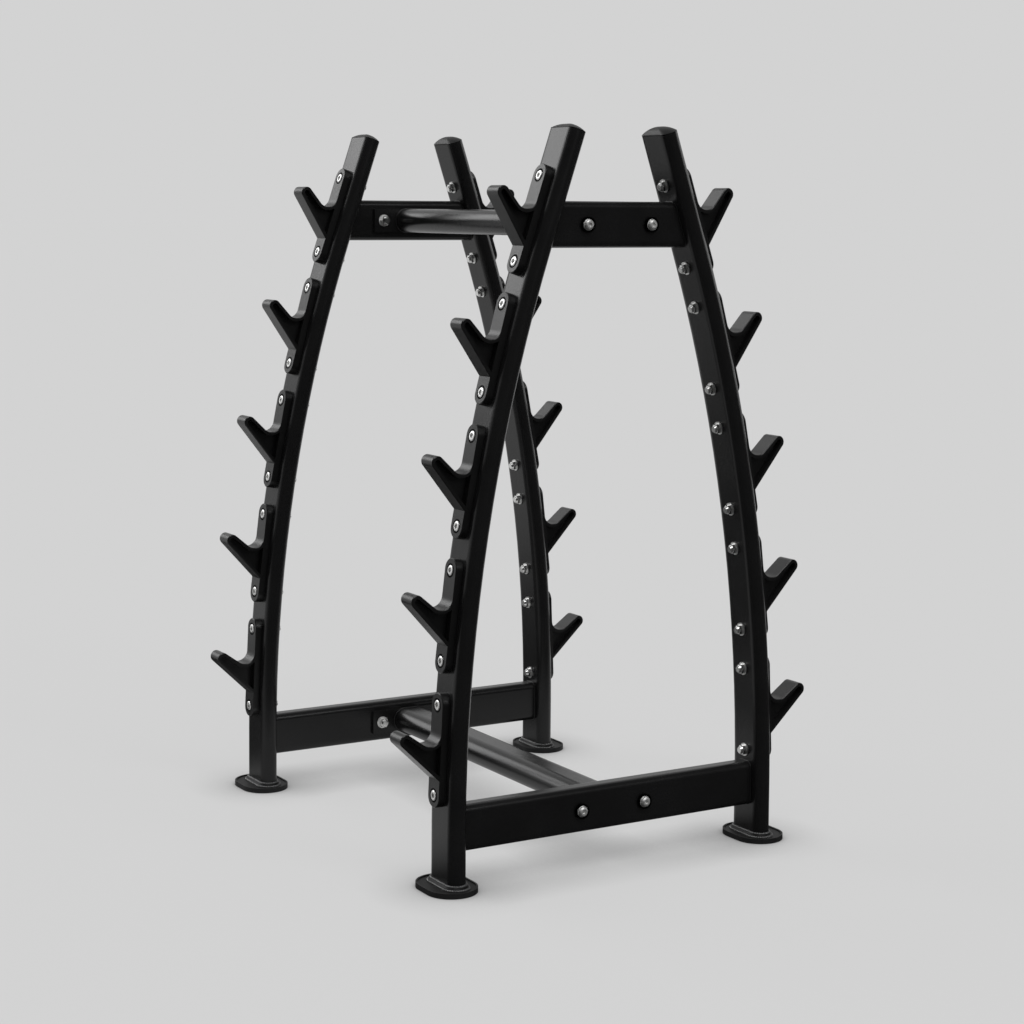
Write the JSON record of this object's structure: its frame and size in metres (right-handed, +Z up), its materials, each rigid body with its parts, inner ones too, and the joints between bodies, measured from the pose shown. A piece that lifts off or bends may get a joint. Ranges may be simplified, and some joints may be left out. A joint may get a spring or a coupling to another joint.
{
  "type": "barbell storage rack",
  "caption": "Two-sided storage rack for fixed barbells: curved oval-tube end frames, two stretchers, and rows of bolted hooks up both sides.",
  "frame": {"origin": "on the floor, at the middle of the footprint", "axes": "+Z up; +X across an end frame, towards the right-hand hooks; +Y along the bars, from the near frame to the far frame"},
  "size_m": [1.0056, 1.046, 1.5414],
  "materials": {
    "frame_steel": "black satin powder coat",
    "hook": "black, finely grained, moulded",
    "end_cap": "black, satin",
    "foot_rubber": "black, matt",
    "bolt_cup": "black, satin",
    "bolt": "bright zinc",
    "washer": "bright zinc",
    "cap_nut": "bright nickel"
  },
  "bodies": {
    "root": {"far_hook_bolts": "bolt", "far_hook_cap_nuts": "cap_nut", "far_hook_washers": "washer", "far_left_end_cap": "end_cap", "far_left_foot_pad": "foot_rubber", "far_left_foot_plate": "frame_steel", "far_left_hook_1": "hook", "far_left_hook_2": "hook", "far_left_hook_3": "hook", "far_left_hook_4": "hook", "far_left_hook_5": "hook", "far_left_upright": "frame_steel", "far_lower_crossmember": "frame_steel", "far_lower_stretcher_flange": "frame_steel", "far_right_end_cap": "end_cap", "far_right_foot_pad": "foot_rubber", "far_right_foot_plate": "frame_steel", "far_right_hook_1": "hook", "far_right_hook_2": "hook", "far_right_hook_3": "hook", "far_right_hook_4": "hook", "far_right_hook_5": "hook", "far_right_upright": "frame_steel", "far_upper_crossmember": "frame_steel", "far_upper_stretcher_flange": "frame_steel", "lower_stretcher": "frame_steel", "near_hook_bolts": "bolt", "near_hook_cap_nuts": "cap_nut", "near_hook_washers": "washer", "near_left_end_cap": "end_cap", "near_left_foot_pad": "foot_rubber", "near_left_foot_plate": "frame_steel", "near_left_hook_1": "hook", "near_left_hook_2": "hook", "near_left_hook_3": "hook", "near_left_hook_4": "hook", "near_left_hook_5": "hook", "near_left_upright": "frame_steel", "near_lower_crossmember": "frame_steel", "near_lower_stretcher_flange": "frame_steel", "near_right_end_cap": "end_cap", "near_right_foot_pad": "foot_rubber", "near_right_foot_plate": "frame_steel", "near_right_hook_1": "hook", "near_right_hook_2": "hook", "near_right_hook_3": "hook", "near_right_hook_4": "hook", "near_right_hook_5": "hook", "near_right_upright": "frame_steel", "near_upper_crossmember": "frame_steel", "near_upper_stretcher_flange": "frame_steel", "stretcher_bolt_cups": "bolt_cup", "stretcher_bolts": "bolt", "stretcher_cap_nuts": "cap_nut", "stretcher_washers": "washer", "upper_stretcher": "frame_steel"}
  },
  "joints": []
}
